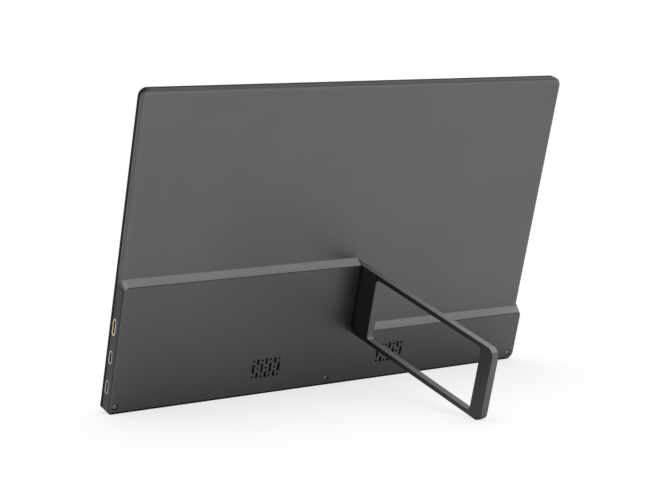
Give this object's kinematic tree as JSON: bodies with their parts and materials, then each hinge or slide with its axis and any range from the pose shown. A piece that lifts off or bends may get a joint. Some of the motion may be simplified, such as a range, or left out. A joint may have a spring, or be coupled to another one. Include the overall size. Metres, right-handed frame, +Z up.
{
  "type": "portable monitor",
  "caption": "Portable monitor with a slim screen body, a deeper L-shaped electronics block on its back and a flat swing-out frame stand.",
  "frame": {"origin": "centre of the box round the standing monitor, on the table it stands on", "axes": "+Z up; the screen faces -Y and leans back; the sockets are on the +X side; the stand reaches out along +Y"},
  "size_m": [0.3584, 0.1854, 0.2237],
  "materials": {
    "bezel": "satin",
    "foam": "matt",
    "screen_glass": "semi-gloss",
    "film": "satin",
    "acrylic": "clear",
    "led_flex": "satin",
    "sheet_metal": "plain",
    "shell": "fine satin",
    "black_screw": "blackened",
    "circuit_board": "solder mask",
    "steel": "plain",
    "gilt": "gold plated",
    "socket_metal": "plated",
    "black_plastic": "matt",
    "mesh": "fine mesh",
    "lead": "plain",
    "bronze": "plain",
    "stand": "fine satin paint",
    "button": "satin"
  },
  "bodies": {
    "monitor": {"front_bezel": "bezel", "bezel_foam": "foam", "lcd_cell": "screen_glass", "optical_films": "film", "light_guide": "acrylic", "reflector_sheet": "film", "led_strip": "led_flex", "panel_tray": "sheet_metal", "rear_shell": "shell", "lower_cover": "shell", "cover_screws": "black_screw", "main_board": "circuit_board", "board_screws": "steel", "shield_can": "sheet_metal", "display_ribbon": "led_flex", "hdmi_socket": "gilt", "usb_c_sockets": "socket_metal", "speakers": "black_plastic", "speaker_gaskets": "foam", "speaker_meshes": "mesh", "speaker_leads": "lead", "button_board": "circuit_board", "button_lead": "lead", "hinge_bracket": "steel", "bracket_screws": "steel", "friction_bush": "bronze"},
    "stand": {"stand_frame": "stand", "hinge_pin": "steel"},
    "power_key": {"power_button": "button"},
    "menu_up_key": {"menu_up_button": "button"},
    "menu_down_key": {"menu_down_button": "button"}
  },
  "joints": [
    {"name": "stand_swing", "type": "hinge", "parent": "monitor", "child": "stand", "pos_m": [-0.017, -0.06382, 0.06538], "axis": [0, 0.2635, 0.9647], "range_deg": [0, 90]},
    {"name": "power_press", "type": "slide", "parent": "monitor", "child": "power_key", "axis": [1, 0, 0], "range_m": [0, 0.0004], "stiffness_N_per_m": 500, "springref_m": -0.0008},
    {"name": "menu_up_press", "type": "slide", "parent": "monitor", "child": "menu_up_key", "axis": [1, 0, 0], "range_m": [0, 0.0004], "stiffness_N_per_m": 500, "springref_m": -0.0008},
    {"name": "menu_down_press", "type": "slide", "parent": "monitor", "child": "menu_down_key", "axis": [1, 0, 0], "range_m": [0, 0.0004], "stiffness_N_per_m": 500, "springref_m": -0.0008}
  ]
}
